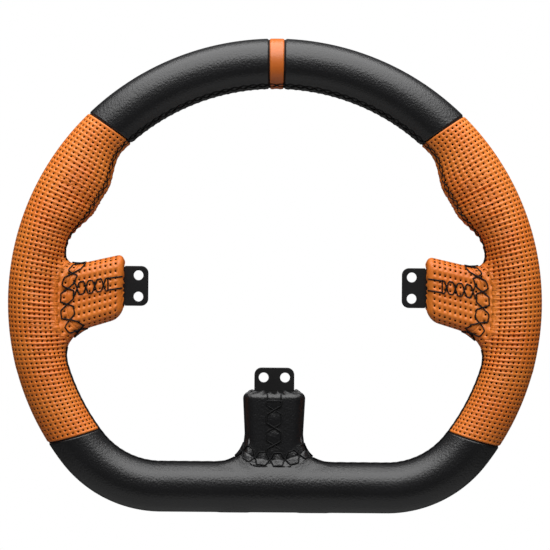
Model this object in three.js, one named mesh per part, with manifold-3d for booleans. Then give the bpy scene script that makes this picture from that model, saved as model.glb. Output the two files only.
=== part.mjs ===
// Detachable racing wheel rim: a flat-bottomed ring with three leather-wrapped spokes that end in tabs.
// Millimetres, +Z up, the driver on the -Y side. The origin is the hub centre, in the plane where the
// tabs seat on the hub.
import * as THREE from 'three';
import { LoftGeometry } from 'three/addons/geometries/LoftGeometry.js';
import { mergeVertices } from 'three/addons/utils/BufferGeometryUtils.js';
import Module from 'manifold-3d';

// Rim outline, seen from the front. It is drawn round, and then made a little lower about its centre.
const rimRadius = 150;
const rimCentreZ = -9;
const rimLowering = 0.99;
const flatBottomZ = -126.6;
const cornerRadius = 70;

// Rim section: across the rim in the wheel's plane, and front to back.
const gripWidth = 28.5;
const gripDepth = 30;
const gripSquareness = 2.2;

// Thumb rests: the inner edge swells inwards above each side spoke. Distances run along the outer edge,
// from the top of the wheel.
const thumbSwell = 7.8;
const thumbFromTop = 156;
const thumbFlat = 8;
const thumbReach = 38;

// Leather panels. The joints are given by their distance from the top, along the outer edge.
const leatherThickness = 1.4;
const stripeWidth = 9;
const upperJointFromTop = 112.5;
const lowerJointFromTop = 324.5;
const jointGap = 1.4;

// Spokes. Each is given along its own axis, from the hub centre outwards, and the lateral sizes are those
// of the leather sleeve at its end and at the rim.
const spokeDepth = 17;
const spokeNoseRadius = 4;
const spokeSquareness = 3;
const sideSpokeEnd = 85.2;
const bottomSpokeEnd = 59.4;
const sideSpokeHigh = [17.8, 10];
const sideSpokeLow = [17.8, 28.5];
const bottomSpokeHalf = [17.4, 16.6];

// Tab plates, which narrow towards the rim, and the bolt holes in their free ends.
const plateThickness = 4;
const plateWidth = 22.4;
const plateRootWidth = 12;
const plateCornerRadius = 4;
const padHeight = 0.5;
const padMargin = 1;
const boltHoleDiameter = 5.5;
const boltSpacing = 12;
const boltToTabEnd = 5.5;
const sideBoltDistance = 76.7;
const bottomBoltDistance = 50.8;

// Armature bar and thread.
const barDiameter = 9;
const threadDiameter = 1.2;
const jointThreadDiameter = 0.8;
const upperSeamForward = 6;

// Clearances and fineness.
const gap = 0.4;
const stationStep = 13;
const sectionSides = 12;
const barSides = 6;
const threadSides = 5;
const arcSegments = 6;
const weldDistance = 1e-4;

// The wheel's middle plane, front to back, is that of the tab plates.
const middleY = -(padHeight + plateThickness / 2);

const wasm = await Module();
wasm.setup();

// ---- Solids -------------------------------------------------------------------------------------------

// A closed three.js geometry as a solid.
function solidOf(geometry) {
  const surface = new THREE.BufferGeometry();
  surface.setAttribute('position', geometry.attributes.position);
  surface.setIndex(geometry.index);
  const merged = mergeVertices(surface, weldDistance);
  const vertProperties = merged.attributes.position.array;
  const triVerts = new Uint32Array(merged.index.array);
  return new wasm.Manifold(new wasm.Mesh({ numProp: 3, vertProperties, triVerts }));
}

function meshOf(name, solid, material) {
  const cut = solid.getMesh();
  const geometry = new THREE.BufferGeometry();
  geometry.setAttribute('position', new THREE.BufferAttribute(cut.vertProperties, 3));
  geometry.setIndex(new THREE.BufferAttribute(cut.triVerts, 1));
  geometry.computeVertexNormals();
  const mesh = new THREE.Mesh(geometry, material.clone());
  mesh.name = name;
  return mesh;
}

// ---- The rim's outline --------------------------------------------------------------------------------

const asDrawn = (z) => rimCentreZ + (z - rimCentreZ) / rimLowering;
const lowered = (z) => rimCentreZ + (z - rimCentreZ) * rimLowering;
const cornerCentreZ = asDrawn(flatBottomZ) + cornerRadius;
const cornerCentreX = Math.sqrt((rimRadius - cornerRadius) ** 2 - (cornerCentreZ - rimCentreZ) ** 2);
const cornerCentre = new THREE.Vector2(cornerCentreX, cornerCentreZ);
const cornerStart = Math.atan2(cornerCentre.y - rimCentreZ, cornerCentre.x);
const archLength = (Math.PI / 2 - cornerStart) * rimRadius;
const cornerLength = (cornerStart + Math.PI / 2) * cornerRadius;
const halfLength = archLength + cornerLength + cornerCentre.x;

// The point on the outer edge at a distance from the top, positive to the right, and the outward
// direction there. Past the bottom centre the distance goes on up the other side.
function outerEdge(fromTop) {
  const wrapped = fromTop > halfLength ? fromTop - 2 * halfLength : fromTop;
  const side = wrapped < 0 ? -1 : 1;
  const along = Math.abs(wrapped);
  let x = cornerCentre.x - (along - archLength - cornerLength);
  let z = asDrawn(flatBottomZ);
  let angle = -Math.PI / 2;
  if (along <= archLength) {
    angle = Math.PI / 2 - along / rimRadius;
    x = rimRadius * Math.cos(angle);
    z = rimCentreZ + rimRadius * Math.sin(angle);
  } else if (along <= archLength + cornerLength) {
    angle = cornerStart - (along - archLength) / cornerRadius;
    x = cornerCentre.x + cornerRadius * Math.cos(angle);
    z = cornerCentre.y + cornerRadius * Math.sin(angle);
  }
  return {
    point: new THREE.Vector3(side * x, middleY, lowered(z)),
    outward: new THREE.Vector3(side * Math.cos(angle), 0, Math.sin(angle)),
    along,
  };
}

function rimWidthAt(along) {
  const beside = Math.abs(along - thumbFromTop);
  return gripWidth + thumbSwell * (1 - THREE.MathUtils.smoothstep(beside, thumbFlat, thumbReach));
}

// A point of a rounded section, from -1 to 1 each way. Turn 0 is the outer edge and 0.25 the back.
function roundedPoint(turn, squareness) {
  const angle = 2 * Math.PI * turn;
  const power = (value) => Math.sign(value) * Math.abs(value) ** (2 / squareness);
  return [power(Math.cos(angle)), power(Math.sin(angle))];
}

// A point on the rim's leather, or under it by the inset.
function rimPoint(fromTop, turn, inset) {
  const edge = outerEdge(fromTop);
  const half = rimWidthAt(edge.along) / 2;
  const [across, back] = roundedPoint(turn, gripSquareness);
  const point = edge.point.clone().addScaledVector(edge.outward, (half - inset) * across - half);
  point.y += (gripDepth / 2 - inset) * back;
  return point;
}

function rimSection(fromTop, inset) {
  return Array.from({ length: sectionSides }, (_, i) => rimPoint(fromTop, -i / sectionSides, inset));
}

// The stations of every rim piece. All pieces share them, so that the walls between them stay parallel.
const stripeEdge = stripeWidth / 2;
const marksOnOneSide = [stripeEdge, upperJointFromTop, thumbFromTop - thumbReach, thumbFromTop + thumbReach,
  lowerJointFromTop];
const marks = [...marksOnOneSide, ...marksOnOneSide.map((s) => -s)].sort((a, b) => a - b);
marks.push(marks[0] + 2 * halfLength);
const stations = [];
for (let i = 0; i + 1 < marks.length; i++) {
  const length = marks[i + 1] - marks[i];
  const steps = Math.ceil(length / stationStep);
  for (let k = 0; k < steps; k++) stations.push(marks[i] + (length * k) / steps);
}

function stationsBetween(from, to) {
  return [from, ...stations.filter((s) => s > from + gap && s < to - gap), to];
}

// A stretch of the rim, solid from side to side.
function rimStretch(from, to, inset) {
  const sections = stationsBetween(from, to).map((s) => rimSection(s, inset));
  return solidOf(new LoftGeometry(sections, { capStart: true, capEnd: true }));
}

// The whole ring. The last section is the first one again, which closes it.
function wholeRim(inset) {
  const sections = stations.map((s) => rimSection(s, inset));
  return solidOf(new LoftGeometry([...sections, sections[0]]));
}

// A leather tube round the rim: out along its face, and back along its lining.
function leatherTube(from, to) {
  const along = stationsBetween(from, to);
  const face = along.map((s) => rimSection(s, 0));
  const lining = along.toReversed().map((s) => rimSection(s, leatherThickness));
  return solidOf(new LoftGeometry([...face, ...lining, face[0]]));
}

// ---- The spokes ---------------------------------------------------------------------------------------

// Each spoke's own frame: out runs from the hub centre to the rim, and side across it, in the wheel's
// plane. ahead and behind are its sleeve's half widths on the two sides, at its end and at the rim, and
// rimAt says how far out the rim lies, at a place across the spoke and some way in from its outer edge.
const backwards = new THREE.Vector3(0, 1, 0);
const archAt = (up, under) => Math.sqrt((rimRadius - under) ** 2 - (asDrawn(up) - rimCentreZ) ** 2);
const sideSpokeFromTop = (Math.PI / 2 - Math.asin(-rimCentreZ / rimRadius)) * rimRadius;

function spokeFrame(out, end, bolts, fromTop, ahead, behind, rimAt) {
  const side = new THREE.Vector3().crossVectors(backwards, out);
  return { out, side, end, bolts, fromTop, ahead, behind, rimAt };
}

const spokes = {
  left: spokeFrame(new THREE.Vector3(-1, 0, 0), sideSpokeEnd, sideBoltDistance, -sideSpokeFromTop,
    sideSpokeHigh, sideSpokeLow, archAt),
  right: spokeFrame(new THREE.Vector3(1, 0, 0), sideSpokeEnd, sideBoltDistance, sideSpokeFromTop,
    sideSpokeLow, sideSpokeHigh, (side, under) => archAt(-side, under)),
  bottom: spokeFrame(new THREE.Vector3(0, 0, -1), bottomSpokeEnd, bottomBoltDistance, halfLength,
    bottomSpokeHalf, bottomSpokeHalf, (side, under) => -flatBottomZ - under),
};

function spokeSpace(spoke, out, side, back) {
  const point = new THREE.Vector3(0, middleY + back, 0);
  return point.addScaledVector(spoke.out, out).addScaledVector(spoke.side, side);
}

// A point on the sleeve's leather, or under it by the inset. Near its end the sleeve rounds over.
function spokePoint(spoke, out, turn, inset) {
  const share = (out - spoke.end) / (spoke.rimAt(0, gripWidth) - spoke.end);
  const beyondEnd = THREE.MathUtils.clamp(out - spoke.end - inset, 0, spokeNoseRadius);
  const rounding = spokeNoseRadius - Math.sqrt(spokeNoseRadius ** 2 - (spokeNoseRadius - beyondEnd) ** 2);
  const shrink = inset + rounding;
  const [across, back] = roundedPoint(turn, spokeSquareness);
  const half = THREE.MathUtils.lerp(...(across > 0 ? spoke.ahead : spoke.behind), share) - shrink;
  return spokeSpace(spoke, out, across * half, back * (spokeDepth / 2 - shrink));
}

// The sleeve's outer shape, or the shape under it by the inset, from its end to the middle of the rim.
function spokeForm(spoke, inset) {
  const start = spoke.end + inset;
  const root = spoke.rimAt(0, gripWidth / 2);
  const noseSteps = [0, 0.15, 0.5, 1].map((share) => start + share * spokeNoseRadius);
  const bodySteps = [1 / 3, 2 / 3, 1].map((share) => THREE.MathUtils.lerp(noseSteps.at(-1), root, share));
  const sections = [...noseSteps, ...bodySteps].map((out) =>
    Array.from({ length: sectionSides }, (_, i) => spokePoint(spoke, out, i / sectionSides, inset)));
  return solidOf(new LoftGeometry(sections, { capStart: true, capEnd: true }));
}

// ---- Armature -----------------------------------------------------------------------------------------

class LoopCurve extends THREE.Curve {
  constructor(pointAt) {
    super();
    this.pointAt = pointAt;
  }

  getPoint(share, target = new THREE.Vector3()) {
    return target.copy(this.pointAt(share));
  }
}

function barPoint(share) {
  const edge = outerEdge((2 * share - 1) * halfLength);
  return edge.point.addScaledVector(edge.outward, -gripWidth / 2);
}

// The armature bar, or the space that it takes in what surrounds it.
function barForm(clearance) {
  const steps = Math.ceil((2 * halfLength) / stationStep);
  const radius = barDiameter / 2 + clearance;
  return solidOf(new THREE.TubeGeometry(new LoopCurve(barPoint), steps, radius, barSides, true));
}

// A flat outline in a spoke's frame, extruded backwards from the given place.
function spokeSlab(spoke, outline, frontY, thickness) {
  const slab = new THREE.ExtrudeGeometry(outline, {
    depth: thickness,
    bevelEnabled: false,
    curveSegments: arcSegments,
  });
  const basis = new THREE.Matrix4().makeBasis(spoke.out, spoke.side, backwards);
  basis.setPosition(0, frontY, 0);
  slab.applyMatrix4(basis);
  return solidOf(slab);
}

// A plate's outline from its free end, rounded at the corners, to some way out, with its taper and room
// round it. The bolt holes are left out where there is room.
function plateOutline(spoke, to, room) {
  const from = spoke.bolts - boltToTabEnd;
  const barAt = spoke.rimAt(0, gripWidth / 2);
  const half = plateWidth / 2 + room;
  const taper = Math.max(to - spoke.end, 0) / (barAt - spoke.end);
  const farHalf = THREE.MathUtils.lerp(plateWidth, plateRootWidth, taper) / 2 + room;
  const round = plateCornerRadius;
  const shape = new THREE.Shape();
  shape.moveTo(to, -farHalf);
  shape.lineTo(to, farHalf);
  shape.lineTo(Math.min(to, spoke.end), half);
  shape.lineTo(from + round, half);
  shape.absarc(from + round, half - round, round, Math.PI / 2, Math.PI);
  shape.absarc(from + round, round - half, round, Math.PI, 1.5 * Math.PI);
  shape.lineTo(Math.min(to, spoke.end), -half);
  shape.closePath();
  for (const side of room ? [] : [-boltSpacing / 2, boltSpacing / 2]) {
    const hole = new THREE.Path();
    hole.absarc(from + boltToTabEnd, side, boltHoleDiameter / 2, 0, 2 * Math.PI, true);
    shape.holes.push(hole);
  }
  return shape;
}

const plateFrontY = middleY - plateThickness / 2;

// A spoke's plate, from its tab to the armature bar, with a raised pad that seats on the hub.
function tabPlate(spoke) {
  const barAt = spoke.rimAt(0, gripWidth / 2);
  const strip = spokeSlab(spoke, plateOutline(spoke, barAt, 0), plateFrontY, plateThickness);
  const pad = plateOutline(spoke, spoke.end - padMargin, 0);
  return strip.add(spokeSlab(spoke, pad, plateFrontY, plateThickness + padHeight)).subtract(barForm(gap));
}

// The slot that a plate takes in the foam and the leather round it.
function plateSlot(spoke) {
  const slot = plateOutline(spoke, spoke.rimAt(0, gripWidth / 2), gap);
  return spokeSlab(spoke, slot, plateFrontY - gap, plateThickness + padHeight + 2 * gap);
}

// ---- Foam and leather ---------------------------------------------------------------------------------

const foamInset = leatherThickness + gap;

function foamCore() {
  const all = Object.values(spokes);
  const moulded = all.reduce((foam, spoke) => foam.add(spokeForm(spoke, foamInset)), wholeRim(foamInset));
  return all.reduce((foam, spoke) => foam.subtract(plateSlot(spoke)), moulded.subtract(barForm(gap)));
}

// A leather panel, open where a spoke's foam passes through it.
function leatherPanel(from, to, spoke) {
  const tube = leatherTube(from + jointGap / 2, to - jointGap / 2);
  return spoke ? tube.subtract(spokeForm(spoke, leatherThickness)) : tube;
}

// A spoke's sleeve, from the tab to the rim's leather.
function spokeSleeve(spoke) {
  const reach = 2 * Math.max(...spoke.ahead, ...spoke.behind);
  return spokeForm(spoke, 0)
    .subtract(spokeForm(spoke, leatherThickness))
    .subtract(plateSlot(spoke))
    .subtract(rimStretch(spoke.fromTop - reach, spoke.fromTop + reach, -gap));
}

// ---- Thread -------------------------------------------------------------------------------------------

const threadProud = threadDiameter / 2 + gap;

function threadLoop(pointAt, steps, diameter) {
  return solidOf(new THREE.TubeGeometry(new LoopCurve(pointAt), steps, diameter / 2, threadSides, true));
}

function threadAlong(points) {
  const section = new THREE.Shape();
  section.absarc(0, 0, threadDiameter / 2, 0, 2 * Math.PI);
  return solidOf(new THREE.ExtrudeGeometry(section, {
    extrudePath: new THREE.CatmullRomCurve3(points),
    steps: points.length - 1,
    curveSegments: Math.ceil(threadSides / 2),
    bevelEnabled: false,
  }));
}

// The sewn thread that lies in the groove of a joint between two panels.
function jointThread(fromTop) {
  const inset = leatherThickness - jointThreadDiameter / 2;
  return threadLoop((share) => rimPoint(fromTop, share, inset), 1.5 * sectionSides, jointThreadDiameter);
}

// The seam along the inner edge, moved round the section towards the driver.
function innerSeam(from, to, forward) {
  const steps = Math.ceil((2 * (to - from)) / stationStep);
  const turn = 0.5 + forward / (Math.PI * gripDepth);
  return threadAlong(Array.from({ length: steps + 1 }, (_, i) =>
    rimPoint(THREE.MathUtils.lerp(from, to, i / steps), turn, -threadProud)));
}

// How far out the rim's leather lies from the hub, beside a spoke's axis, at a place front to back.
function rimFace(spoke, side, back, proud) {
  const depth = Math.min(Math.abs(back) / (gripDepth / 2 + proud), 1);
  const across = (1 - depth ** gripSquareness) ** (1 / gripSquareness);
  return spoke.rimAt(side, gripWidth / 2 + (gripWidth / 2 + proud) * across);
}

// The lacing round a spoke's root, in the corner between its sleeve and the rim.
function rootLacing(spoke) {
  const rimAt = spoke.rimAt(0, gripWidth);
  const pointAt = (share) => {
    const beside = spokePoint(spoke, rimAt, share, -threadProud);
    const out = rimFace(spoke, beside.dot(spoke.side), beside.y - middleY, threadProud);
    return spokePoint(spoke, out, share, -threadProud);
  };
  return threadLoop(pointAt, 3 * sectionSides, threadDiameter);
}

// The lacing that closes a sleeve along the middle of its front.
function frontLacing(spoke) {
  const from = spoke.end + spokeNoseRadius;
  const to = spoke.rimAt(0, gripWidth) - threadDiameter - threadProud;
  const back = -(spokeDepth / 2 + threadProud);
  const steps = Math.ceil((to - from) / stationStep);
  return threadAlong(Array.from({ length: steps + 1 }, (_, i) =>
    spokeSpace(spoke, THREE.MathUtils.lerp(from, to, i / steps), 0, back)));
}

// ---- The wheel ----------------------------------------------------------------------------------------

function finish(color, roughness, metalness) {
  return new THREE.MeshStandardMaterial({ color, roughness, metalness });
}

const bareSteel = finish('#8d8f92', 0.4, 1);
const powderCoat = finish('#1b1a1b', 0.45, 0);
const foam = finish('#3a3a3c', 0.9, 0);
const blackLeather = finish('#26262a', 0.5, 0);
const orangeLeather = finish('#d9702f', 0.5, 0);
const waxedThread = finish('#141416', 0.6, 0);

const group = new THREE.Group();

function place(name, solid, material) {
  group.add(meshOf(name, solid, material));
}

place('armature_ring', barForm(0), bareSteel);
place('foam_core', foamCore(), foam);
for (const [name, spoke] of Object.entries(spokes)) {
  place(`${name}_tab_plate`, tabPlate(spoke), powderCoat);
  place(`${name}_spoke_sleeve`, spokeSleeve(spoke), name === 'bottom' ? blackLeather : orangeLeather);
  place(`${name}_root_lacing`, rootLacing(spoke), waxedThread);
  place(`${name}_front_lacing`, frontLacing(spoke), waxedThread);
}

place('centre_stripe_leather', leatherPanel(-stripeEdge, stripeEdge), orangeLeather);
place('top_left_leather', leatherPanel(-upperJointFromTop, -stripeEdge), blackLeather);
place('top_right_leather', leatherPanel(stripeEdge, upperJointFromTop), blackLeather);
place('left_grip_leather', leatherPanel(-lowerJointFromTop, -upperJointFromTop, spokes.left), orangeLeather);
place('right_grip_leather', leatherPanel(upperJointFromTop, lowerJointFromTop, spokes.right), orangeLeather);
place('bottom_leather', leatherPanel(lowerJointFromTop, 2 * halfLength - lowerJointFromTop, spokes.bottom),
  blackLeather);

for (const [side, sign] of [['left', -1], ['right', 1]]) {
  place(`${side}_stripe_joint_thread`, jointThread(sign * stripeEdge), waxedThread);
  place(`${side}_upper_joint_thread`, jointThread(sign * upperJointFromTop), waxedThread);
  place(`${side}_lower_joint_thread`, jointThread(sign * lowerJointFromTop), waxedThread);
}

// Where the rim's inner edge reaches a height above the hub centre, as a distance from the top.
function fromTopAtHeight(up) {
  return (Math.PI / 2 - Math.asin((asDrawn(up) - rimCentreZ) / (rimRadius - gripWidth))) * rimRadius;
}

// The inner seams stop short of the spokes by the room that the root lacings take.
const seamMargin = 2 * threadDiameter + 4 * gap;
const aboveSpoke = fromTopAtHeight(sideSpokeHigh[1] + seamMargin);
const belowSpoke = fromTopAtHeight(-sideSpokeLow[1] - seamMargin);
const besideBottom = halfLength - bottomSpokeHalf[1] - seamMargin;
place('upper_seam_thread', innerSeam(-aboveSpoke, aboveSpoke, upperSeamForward), waxedThread);
place('lower_left_seam_thread', innerSeam(-besideBottom, -belowSpoke, 0), waxedThread);
place('lower_right_seam_thread', innerSeam(belowSpoke, besideBottom, 0), waxedThread);

export default group;
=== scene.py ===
import math

import bmesh
import bpy
import numpy as np
from mathutils import Matrix, Vector


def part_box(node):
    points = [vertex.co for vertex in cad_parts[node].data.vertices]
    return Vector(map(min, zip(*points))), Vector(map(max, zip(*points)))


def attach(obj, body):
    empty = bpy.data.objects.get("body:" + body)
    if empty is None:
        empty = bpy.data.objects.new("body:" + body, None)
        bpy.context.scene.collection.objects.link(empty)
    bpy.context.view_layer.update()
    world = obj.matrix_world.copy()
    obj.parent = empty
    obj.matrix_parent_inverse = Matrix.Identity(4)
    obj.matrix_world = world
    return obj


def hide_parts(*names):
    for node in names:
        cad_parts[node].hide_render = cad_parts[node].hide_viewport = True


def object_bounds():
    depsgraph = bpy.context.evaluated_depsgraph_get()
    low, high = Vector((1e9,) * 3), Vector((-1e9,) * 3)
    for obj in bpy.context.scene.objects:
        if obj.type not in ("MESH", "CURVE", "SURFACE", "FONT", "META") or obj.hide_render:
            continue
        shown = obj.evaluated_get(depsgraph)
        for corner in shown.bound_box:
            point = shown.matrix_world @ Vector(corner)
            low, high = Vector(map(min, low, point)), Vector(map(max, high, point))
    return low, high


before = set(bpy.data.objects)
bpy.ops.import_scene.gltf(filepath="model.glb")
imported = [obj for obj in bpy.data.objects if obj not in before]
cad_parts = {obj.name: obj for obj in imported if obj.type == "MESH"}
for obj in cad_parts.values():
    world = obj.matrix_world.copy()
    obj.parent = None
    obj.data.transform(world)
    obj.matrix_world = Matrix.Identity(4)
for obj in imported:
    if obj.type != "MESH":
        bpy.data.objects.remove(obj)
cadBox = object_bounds()

# Shapes are worked out in millimetres, and meshes are made in metres.
mm = 0.001
backwards = np.array([0.0, 1.0, 0.0])


def boxOf(node):
    low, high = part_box(node)
    return np.array(low) / mm, np.array(high) / mm


def addObject(name, data):
    made = bpy.data.objects.new(name, data)
    bpy.context.scene.collection.objects.link(made)
    return made


def smooth(value, low, high):
    share = np.clip((value - low) / (high - low), 0, 1)
    return share * share * (3 - 2 * share)


def mix(a, b, share):
    return a + (b - a) * share


def linear(hexColour):
    parts = [int(hexColour[i:i + 2], 16) / 255 for i in (1, 3, 5)]
    return [p / 12.92 if p <= 0.04045 else ((p + 0.055) / 1.055) ** 2.4 for p in parts] + [1]


# Adds one node. Inputs are values, sockets, or nodes that feed it from their first output. Stops are a
# colour ramp's two colours, and settings are the node's other properties.
def addNode(tree, kind, inputs=None, stops=(), **settings):
    node = tree.nodes.new(kind)
    for index, (position, colour) in enumerate(stops):
        node.color_ramp.elements[index].position = position
        node.color_ramp.elements[index].color = linear(colour)
    for key, value in settings.items():
        setattr(node, key, value)
    for key, value in (inputs or {}).items():
        if isinstance(value, bpy.types.Node):
            value = value.outputs[0]
        if isinstance(value, bpy.types.NodeSocket):
            tree.links.new(value, node.inputs[key])
        else:
            node.inputs[key].default_value = value
    return node


# A material with nothing in it yet, its tree, and the coordinates that its patterns lie in.
def newMaterial(name):
    material = bpy.data.materials.new(name)
    material.use_nodes = True
    tree = material.node_tree
    tree.nodes.clear()
    return material, tree, addNode(tree, "ShaderNodeTexCoord").outputs["Object"]


def finishMaterial(tree, inputs):
    shader = addNode(tree, "ShaderNodeBsdfPrincipled", inputs)
    addNode(tree, "ShaderNodeOutputMaterial", {"Surface": shader})


# Chrome-tanned cowhide, dyed and finished with a satin polymer coat: an even colour with slightly
# darker pores, a fine pebble grain and soft broad highlights.
def grainLeather(name, look):
    material, tree, place = newMaterial(name)
    mottle = addNode(tree, "ShaderNodeTexNoise", {
        "Vector": place, "Scale": 1 / (look["mottleSize"] * mm), "Detail": 3.0})
    pebbles = addNode(tree, "ShaderNodeTexVoronoi", {
        "Vector": place, "Scale": 1 / (look["grainSize"] * mm)}, feature="SMOOTH_F1")
    pores = addNode(tree, "ShaderNodeTexNoise", {
        "Vector": place, "Scale": 1 / (look["poreSize"] * mm), "Detail": 2.0})
    colour = addNode(tree, "ShaderNodeValToRGB", {"Fac": mottle}, look["colours"])
    roughness = addNode(tree, "ShaderNodeMapRange", {
        "Value": pores, "To Min": look["roughness"][0], "To Max": look["roughness"][1]})
    grain = addNode(tree, "ShaderNodeBump", {
        "Strength": look["grainStrength"], "Distance": look["grainDepth"] * mm,
        "Height": pebbles}, invert=True)
    finest = addNode(tree, "ShaderNodeBump", {
        "Strength": look["poreStrength"], "Distance": look["grainDepth"] * mm,
        "Height": pores, "Normal": grain})
    normal = finest
    if look["creases"]:
        normal = stretchCreases(tree, normal, look["creases"])
    finishMaterial(tree, {
        "Base Color": colour, "Roughness": roughness,
        "Normal": normal, "Specular IOR Level": look["specular"]})
    return material


# Fine creases that run across the rim from hole to hole, where the leather is pulled round the bend.
# The map's first coordinate counts the rows of holes, and its second the holes in a row.
def stretchCreases(tree, normal, creases):
    cells = addNode(tree, "ShaderNodeUVMap", uv_map="cells")
    pulled = addNode(tree, "ShaderNodeMapping", {
        "Vector": cells, "Scale": (creases["perRow"], creases["perHole"], 1.0)})
    wander = addNode(tree, "ShaderNodeTexNoise", {
        "Vector": pulled, "Scale": 1.0, "Detail": 2.0})
    amount = addNode(tree, "ShaderNodeAttribute", attribute_name="stretch")
    height = addNode(tree, "ShaderNodeMath", {
        0: wander, 1: amount.outputs["Fac"]}, operation="MULTIPLY")
    bump = addNode(tree, "ShaderNodeBump", {
        "Strength": creases["strength"], "Distance": creases["depth"] * mm,
        "Height": height, "Normal": normal})
    return bump


# Sizes and depths are in millimetres. Real pores are finer, and are drawn as coarse as they must be to
# show.
blackLook = {
    "colours": [(0.3, "#0f0f11"), (0.7, "#161618")],
    "mottleSize": 30.0,
    "grainSize": 1.0,
    "grainDepth": 0.3,
    "grainStrength": 0.42,
    "poreSize": 0.4,
    "poreStrength": 0.25,
    "roughness": (0.3, 0.42),
    "specular": 0.7,
    "creases": None,
}
orangeLook = {
    "colours": [(0.3, "#f67f28"), (0.7, "#ff9036")],
    "mottleSize": 20.0,
    "grainSize": 1.0,
    "grainDepth": 0.22,
    "grainStrength": 0.3,
    "poreSize": 0.4,
    "poreStrength": 0.2,
    "roughness": (0.36, 0.48),
    "specular": 0.55,
    "creases": {"perRow": 1.4, "perHole": 0.16, "strength": 1.0, "depth": 1.6},
}
stripeLook = dict(orangeLook, colours=[(0.3, "#cd6622"), (0.7, "#d8722a")], roughness=(0.32, 0.42),
    specular=0.6, creases=None)


# Each simple finish: its patterns, as a node, a size in millimetres, an output and the node's inputs and
# settings, of which the first gives the colour and the last the bump; its two colours; its bump's
# strength and depth in millimetres; and the shader's other inputs.
finishes = {
    # The raw edge and backing inside a punched hole: dyed black, and near black as painted shade in the
    # hole. Its fibres are drawn coarser than real.
    "punched_edge_and_shade": {
        "patterns": [("ShaderNodeTexNoise", 0.333, "Fac", {}, {})],
        "colours": [(0.3, "#050404"), (0.7, "#0c0908")],
        "shader": {"Roughness": 0.95, "Specular IOR Level": 0.1},
    },
    # Bonded polyester thread with a wax finish: nearly black, lighter in bands along the twist as a
    # painted sheen; the bands lie 0.35 mm apart.
    "waxed_polyester_thread": {
        "patterns": [("ShaderNodeTexWave", 1.11, "Fac", {"Distortion": 3.0, "Detail": 1.0},
            {"bands_direction": "DIAGONAL"})],
        "colours": [(0.2, "#070708"), (0.8, "#131315")],
        "bump": (0.4, 0.1),
        "shader": {"Roughness": 0.6, "Specular IOR Level": 0.3},
    },
    # Fine-textured black polyester powder coat on laser-cut steel: matt, with a slight orange peel.
    "textured_powder_coat": {
        "patterns": [("ShaderNodeTexNoise", 11.1, "Fac", {"Detail": 2.0}, {}),
            ("ShaderNodeTexNoise", 0.714, "Fac", {"Detail": 3.0}, {})],
        "colours": [(0.3, "#0f0e0f"), (0.7, "#161516")],
        "bump": (0.35, 0.1),
        "shader": {"Roughness": 0.5, "Specular IOR Level": 0.4},
    },
    # Drawn steel bar with its thin mill scale: grey metal with faint darker, rougher streaks.
    "drawn_steel": {
        "patterns": [("ShaderNodeTexNoise", 4.55, "Fac", {"Detail": 4.0}, {})],
        "colours": [(0.3, "#6d6f72"), (0.7, "#96989b")],
        "roughness": (0.3, 0.5),
        "shader": {"Metallic": 1.0},
    },
    # Self-skinned polyurethane foam: charcoal, matt and finely pitted, darker in its pits as painted
    # shade.
    "moulded_polyurethane_foam": {
        "patterns": [("ShaderNodeTexVoronoi", 1.11, "Distance", {}, {})],
        "colours": [(0.1, "#242426"), (0.6, "#3a3a3c")],
        "bump": (0.5, 0.3),
        "shader": {"Roughness": 0.9},
    },
    # Uncoated backdrop paper: pale, flat and faintly mottled.
    "matt_studio_paper": {
        "patterns": [("ShaderNodeTexNoise", 2.5, "Fac", {}, {})],
        "colours": [(0.3, "#bebebe"), (0.7, "#c4c4c4")],
        "shader": {"Roughness": 0.9},
    },
}


def simpleFinish(name):
    look = finishes[name]
    material, tree, place = newMaterial(name)
    patterns = []
    for kind, size, output, given, settings in look["patterns"]:
        inputs = {"Vector": place, "Scale": 1 / (size * mm), **given}
        patterns.append(addNode(tree, kind, inputs, **settings).outputs[output])
    colour = addNode(tree, "ShaderNodeValToRGB", {"Fac": patterns[0]}, look["colours"])
    shading = {"Base Color": colour, **look["shader"]}
    if "roughness" in look:
        low, high = look["roughness"]
        roughness = addNode(tree, "ShaderNodeMapRange", {
            "Value": patterns[0], "To Min": low, "To Max": high})
        shading["Roughness"] = roughness
    if "bump" in look:
        strength, depth = look["bump"]
        bump = addNode(tree, "ShaderNodeBump", {
            "Strength": strength, "Distance": depth * mm, "Height": patterns[-1]})
        shading["Normal"] = bump
    finishMaterial(tree, shading)
    return material


materials = {name: simpleFinish(name) for name in finishes}
for name, look in (("black_grain_leather", blackLook), ("orange_grain_leather", orangeLook),
        ("smooth_orange_leather", stripeLook)):
    materials[name] = grainLeather(name, look)
print("materials made")


stripeTop = boxOf("centre_stripe_leather")[1][2]
bottomLow, bottomHigh = boxOf("bottom_leather")
rim = {
    "radius": (cadBox[1].x - cadBox[0].x) / mm / 2,
    "width": 28.5,
    "depth": bottomHigh[1] - bottomLow[1],
    "middleY": (bottomHigh[1] + bottomLow[1]) / 2,
    "squareness": 2.2,
    "flatZ": bottomLow[2],
    "cornerRadius": 70.0,
    "thumbSwell": 7.8,  # the inner edge's swelling above each side spoke
    "thumbFromTop": 156.0,
    "thumbFlat": 8.0,
    "thumbReach": 38.0,
    "centreZ": -9.0,
    "overlap": 1.5,  # how far the rim's skin and a spoke's skin run past each other in their fillet
}
# The outline is drawn round, and then made a little lower about its centre.
lowering = (stripeTop - rim["centreZ"]) / rim["radius"]


def asDrawn(z):
    return rim["centreZ"] + (z - rim["centreZ"]) / lowering


drawnFlatZ = asDrawn(rim["flatZ"])
cornerZ = drawnFlatZ + rim["cornerRadius"]
cornerX = math.sqrt((rim["radius"] - rim["cornerRadius"]) ** 2 - (cornerZ - rim["centreZ"]) ** 2)
cornerStart = math.atan2(cornerZ - rim["centreZ"], cornerX)
archLength = (math.pi / 2 - cornerStart) * rim["radius"]
cornerLength = (cornerStart + math.pi / 2) * rim["cornerRadius"]
halfLength = archLength + cornerLength + cornerX


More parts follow.
